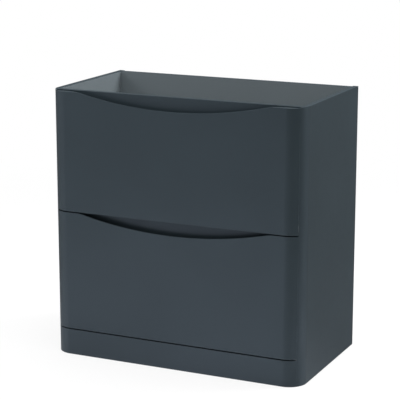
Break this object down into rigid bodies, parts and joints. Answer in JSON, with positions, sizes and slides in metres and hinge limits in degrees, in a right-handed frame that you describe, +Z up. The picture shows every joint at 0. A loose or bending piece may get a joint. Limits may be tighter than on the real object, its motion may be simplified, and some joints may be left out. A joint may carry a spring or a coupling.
{
  "type": "freestanding vanity unit",
  "caption": "Freestanding bathroom vanity cabinet with rounded front corners, drawers with scooped finger pulls on ball runners, open top for a basin and a rear service opening.",
  "frame": {"origin": "centre of the footprint on the floor", "axes": "+X to the right seen from the front, +Y to the back, +Z up"},
  "size_m": [0.8, 0.448, 0.805],
  "materials": {
    "lacquer": "satin blue-grey lacquer on fibreboard",
    "carcass_melamine": "matt grey melamine",
    "drawer_melamine": "matt light grey melamine",
    "runner_steel": "bright zinc plated",
    "cage_steel": "plain stamped strip",
    "screw_steel": "zinc plated",
    "cam_zinc": "zinc die casting",
    "glide_plastic": "moulded"
  },
  "bodies": {
    "carcass": {"base_panel": "carcass_melamine", "cam_bolts": "screw_steel", "cam_locks": "cam_zinc", "floor_glides": "glide_plastic", "front_base_support": "carcass_melamine", "lower_back_rail": "carcass_melamine", "lower_runner_left_cabinet": "runner_steel", "lower_runner_right_cabinet": "runner_steel", "middle_front_rail": "lacquer", "plinth_front": "lacquer", "rear_base_support": "carcass_melamine", "side_panel_left": "lacquer", "side_panel_right": "lacquer", "top_front_rail": "lacquer", "upper_back_rail": "carcass_melamine", "upper_runner_left_cabinet": "runner_steel", "upper_runner_right_cabinet": "runner_steel"},
    "upper_drawer": {"upper_drawer_back_left": "drawer_melamine", "upper_drawer_back_right": "drawer_melamine", "upper_drawer_bottom": "drawer_melamine", "upper_drawer_front": "lacquer", "upper_drawer_inner_front": "drawer_melamine", "upper_drawer_side_left": "drawer_melamine", "upper_drawer_side_right": "drawer_melamine", "upper_drawer_trap_cheek_left": "drawer_melamine", "upper_drawer_trap_cheek_right": "drawer_melamine", "upper_drawer_trap_front": "drawer_melamine", "upper_runner_left_drawer": "runner_steel", "upper_runner_right_drawer": "runner_steel"},
    "upper_middle_members": {"upper_runner_left_middle": "runner_steel", "upper_runner_right_middle": "runner_steel"},
    "upper_outer_cages": {"upper_outer_ball_cages": "cage_steel"},
    "upper_inner_cages": {"upper_inner_ball_cages": "cage_steel"},
    "lower_drawer": {"lower_drawer_back": "drawer_melamine", "lower_drawer_bottom": "drawer_melamine", "lower_drawer_front": "lacquer", "lower_drawer_inner_front": "drawer_melamine", "lower_drawer_side_left": "drawer_melamine", "lower_drawer_side_right": "drawer_melamine", "lower_runner_left_drawer": "runner_steel", "lower_runner_right_drawer": "runner_steel"},
    "lower_middle_members": {"lower_runner_left_middle": "runner_steel", "lower_runner_right_middle": "runner_steel"},
    "lower_outer_cages": {"lower_outer_ball_cages": "cage_steel"},
    "lower_inner_cages": {"lower_inner_ball_cages": "cage_steel"}
  },
  "joints": [
    {"name": "upper_drawer_slide", "type": "slide", "parent": "carcass", "child": "upper_drawer", "axis": [0, -1, 0], "range_m": [0, 0.35]},
    {"name": "upper_middle_members_slide", "type": "slide", "parent": "carcass", "child": "upper_middle_members", "axis": [0, -1, 0], "range_m": [0, 0.175]},
    {"name": "upper_outer_cages_slide", "type": "slide", "parent": "carcass", "child": "upper_outer_cages", "axis": [0, -1, 0], "range_m": [0, 0.0875]},
    {"name": "upper_inner_cages_slide", "type": "slide", "parent": "carcass", "child": "upper_inner_cages", "axis": [0, -1, 0], "range_m": [0, 0.2625]},
    {"name": "lower_drawer_slide", "type": "slide", "parent": "carcass", "child": "lower_drawer", "axis": [0, -1, 0], "range_m": [0, 0.35]},
    {"name": "lower_middle_members_slide", "type": "slide", "parent": "carcass", "child": "lower_middle_members", "axis": [0, -1, 0], "range_m": [0, 0.175]},
    {"name": "lower_outer_cages_slide", "type": "slide", "parent": "carcass", "child": "lower_outer_cages", "axis": [0, -1, 0], "range_m": [0, 0.0875]},
    {"name": "lower_inner_cages_slide", "type": "slide", "parent": "carcass", "child": "lower_inner_cages", "axis": [0, -1, 0], "range_m": [0, 0.2625]}
  ],
  "couplings": [
    {"joint": "upper_middle_members_slide", "follows": "upper_drawer_slide", "ratio": 0.5},
    {"joint": "upper_outer_cages_slide", "follows": "upper_drawer_slide", "ratio": 0.25},
    {"joint": "upper_inner_cages_slide", "follows": "upper_drawer_slide", "ratio": 0.75},
    {"joint": "lower_middle_members_slide", "follows": "lower_drawer_slide", "ratio": 0.5},
    {"joint": "lower_outer_cages_slide", "follows": "lower_drawer_slide", "ratio": 0.25},
    {"joint": "lower_inner_cages_slide", "follows": "lower_drawer_slide", "ratio": 0.75}
  ]
}
